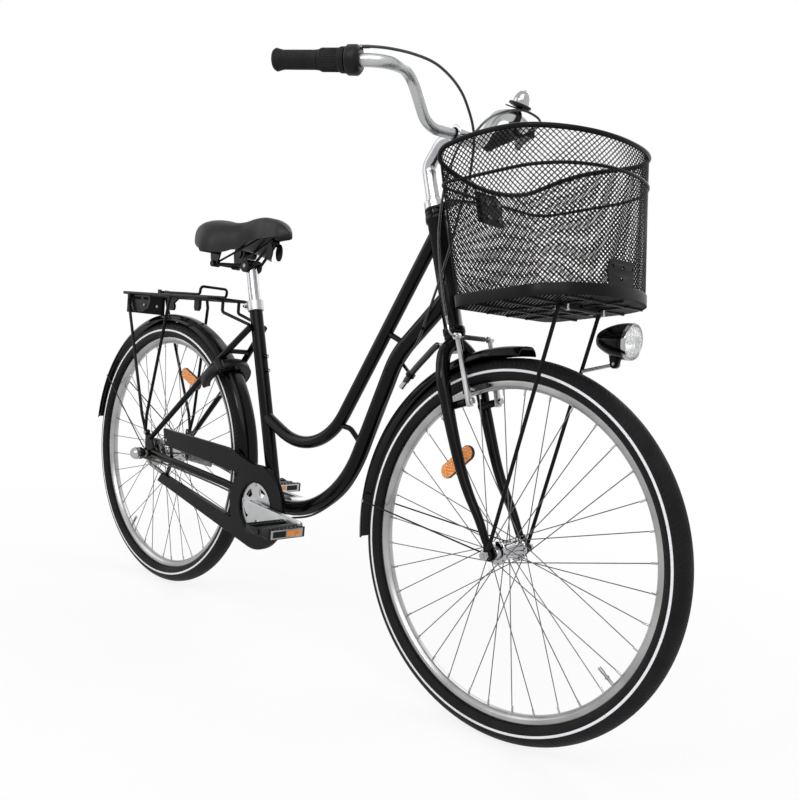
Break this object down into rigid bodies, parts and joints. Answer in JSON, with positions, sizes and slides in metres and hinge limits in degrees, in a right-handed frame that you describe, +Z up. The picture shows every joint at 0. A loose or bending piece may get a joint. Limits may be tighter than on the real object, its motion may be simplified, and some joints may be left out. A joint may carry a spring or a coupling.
{
  "type": "bicycle",
  "caption": "Step-through city bicycle with a wire front basket, rear carrier, chain guard, fenders, lamps, ring lock and rim brake.",
  "frame": {"origin": "middle of the object's bounding box, on the ground", "axes": "+X forward, +Y to the rider's left, +Z up"},
  "size_m": [1.8914, 0.691, 1.2488],
  "materials": {
    "tyre": "matte rubber with a white line on the wall",
    "rim": "satin, turned brake track",
    "hub": "polished shell, plain steel spokes",
    "amber": "clear amber prisms",
    "frame_paint": "gloss black",
    "fender_paint": "gloss black",
    "carrier_paint": "semi-gloss black",
    "basket_coating": "satin black coating",
    "collar": "satin",
    "post": "polished",
    "stem": "polished",
    "bar": "satin",
    "fastener": "polished",
    "saddle_cover": "fine grain, black, sewn edge",
    "pedal_body": "satin black with amber reflectors",
    "drive_alloy": "satin",
    "drive_steel": "oiled",
    "red_lamp": "clear red prisms",
    "lock_plastic": "satin black",
    "lock_steel": "plated",
    "grip_rubber": "ribbed",
    "control_plastic": "satin black",
    "bell_chrome": "polished dome on a black base",
    "brake_alloy": "satin with black shoes",
    "lamp_paint": "black shell, plated ring",
    "lens": "clear, ribbed",
    "cable_sleeve": "black sleeve",
    "damper_sleeve": "smooth black sleeve with a plated end"
  },
  "bodies": {
    "frame": {"head_tube": "frame_paint", "upper_tube": "frame_paint", "lower_tube": "frame_paint", "seat_tube": "frame_paint", "chain_stay_right": "frame_paint", "chain_stay_left": "frame_paint", "seat_stay_right": "frame_paint", "seat_stay_left": "frame_paint", "seat_clamp": "collar", "rear_axle": "fastener", "shift_cap": "fastener", "chain": "drive_steel", "chain_guard": "fender_paint", "rear_fender": "fender_paint", "carrier": "carrier_paint", "rear_lamp": "red_lamp", "lock_body": "lock_plastic", "gear_cable_rear": "cable_sleeve", "damper_spring": "damper_sleeve"},
    "rear_wheel": {"rear_tyre": "tyre", "rear_rim": "rim", "rear_hub": "hub", "rear_reflector": "amber"},
    "driver": {"rear_sprocket": "drive_steel"},
    "seat": {"seat_post": "post", "saddle_rails": "carrier_paint", "saddle": "saddle_cover"},
    "cranks": {"chain_ring": "drive_alloy", "crank_right": "drive_alloy", "crank_left": "drive_alloy"},
    "right_pedal": {"pedal_right": "pedal_body"},
    "left_pedal": {"pedal_left": "pedal_body"},
    "luggage_clamp": {"carrier_clamp": "carrier_paint"},
    "shackle": {"lock_shackle": "lock_steel"},
    "steering": {"fork": "frame_paint", "stem": "stem", "handlebar": "bar", "grip_left": "grip_rubber", "grip_right": "grip_rubber", "shifter": "control_plastic", "brake_mount": "control_plastic", "bell": "bell_chrome", "front_axle": "fastener", "front_fender": "fender_paint", "basket": "basket_coating", "basket_bracket": "carrier_paint", "basket_stays": "carrier_paint", "brake_cable": "cable_sleeve", "gear_cable_front": "cable_sleeve"},
    "front_wheel": {"front_tyre": "tyre", "front_rim": "rim", "front_hub": "hub", "front_reflector": "amber"},
    "headlamp": {"lamp_shell": "lamp_paint", "lamp_lens": "lens"},
    "twist": {"twist_grip": "grip_rubber"},
    "lever": {"brake_lever": "control_plastic"},
    "bell_thumb": {"bell_lever": "control_plastic"},
    "right_arm": {"brake_arm_right": "brake_alloy"},
    "left_arm": {"brake_arm_left": "brake_alloy"}
  },
  "joints": [
    {"name": "steer", "type": "hinge", "parent": "frame", "child": "steering", "pos_m": [0.54207, -0.02212, 0.357], "axis": [-0.3289, 0, 0.9444], "range_deg": [-60, 60], "stiffness_Nm_per_rad": 1.2, "deforming": ["damper_spring", "gear_cable_front"]},
    {"name": "front_wheel_spin", "type": "hinge", "parent": "steering", "child": "front_wheel", "pos_m": [0.58866, -0.02212, 0.357], "axis": [0, 1, 0], "continuous": true},
    {"name": "rear_wheel_spin", "type": "hinge", "parent": "frame", "child": "rear_wheel", "pos_m": [-0.57134, -0.02212, 0.357], "axis": [0, 1, 0], "continuous": true},
    {"name": "crank_spin", "type": "hinge", "parent": "frame", "child": "cranks", "pos_m": [-0.09134, -0.02212, 0.305], "axis": [0, 1, 0], "continuous": true},
    {"name": "driver_spin", "type": "hinge", "parent": "frame", "child": "driver", "pos_m": [-0.57134, -0.02212, 0.357], "axis": [0, 1, 0], "continuous": true},
    {"name": "right_pedal_spin", "type": "hinge", "parent": "cranks", "child": "right_pedal", "pos_m": [0.07843, -0.02212, 0.2961], "axis": [0, 1, 0], "continuous": true},
    {"name": "left_pedal_spin", "type": "hinge", "parent": "cranks", "child": "left_pedal", "pos_m": [-0.26111, -0.02212, 0.3139], "axis": [0, 1, 0], "continuous": true},
    {"name": "saddle_height", "type": "slide", "parent": "frame", "child": "seat", "axis": [-0.284, 0, 0.9588], "range_m": [-0.04, 0.06]},
    {"name": "clamp_hinge", "type": "hinge", "parent": "frame", "child": "luggage_clamp", "pos_m": [-0.59134, -0.02212, 0.79], "axis": [0, -1, 0], "range_deg": [0, 60], "stiffness_Nm_per_rad": 1.5, "springref_deg": -11.46},
    {"name": "shackle_turn", "type": "hinge", "parent": "frame", "child": "shackle", "pos_m": [-0.33004, -0.02212, 0.58951], "axis": [0.6767, 0, -0.7362], "range_deg": [0, 110]},
    {"name": "lamp_tilt", "type": "hinge", "parent": "steering", "child": "headlamp", "pos_m": [0.72466, 0.03788, 0.719], "axis": [0, 1, 0], "range_deg": [-12, 12]},
    {"name": "twist_shift", "type": "hinge", "parent": "steering", "child": "twist", "pos_m": [0.30718, -0.27012, 1.191], "axis": [-0.8957, -0.4446, 0], "range_deg": [-60, 60]},
    {"name": "lever_pull", "type": "hinge", "parent": "steering", "child": "lever", "pos_m": [0.33243, 0.24684, 1.191], "axis": [0, 0, 1], "range_deg": [0, 16], "stiffness_Nm_per_rad": 3, "springref_deg": -5.73, "deforming": ["brake_cable"]},
    {"name": "bell_flick", "type": "hinge", "parent": "steering", "child": "bell_thumb", "pos_m": [0.36166, 0.15188, 1.196], "axis": [0.342, 0, 0.9397], "range_deg": [0, 25], "stiffness_Nm_per_rad": 0.05, "springref_deg": -5.73},
    {"name": "right_arm_turn", "type": "hinge", "parent": "steering", "child": "right_arm", "pos_m": [0.4958, -0.06612, 0.62457], "axis": [-0.9444, 0, -0.3289], "range_deg": [0, 1.2]},
    {"name": "left_arm_turn", "type": "hinge", "parent": "steering", "child": "left_arm", "pos_m": [0.4958, 0.02188, 0.62457], "axis": [0.9444, 0, 0.3289], "range_deg": [0, 1.2]}
  ],
  "couplings": [
    {"joint": "driver_spin", "follows": "crank_spin", "ratio": 2.3333},
    {"joint": "right_arm_turn", "follows": "lever_pull", "ratio": 0.075},
    {"joint": "left_arm_turn", "follows": "lever_pull", "ratio": 0.075}
  ]
}
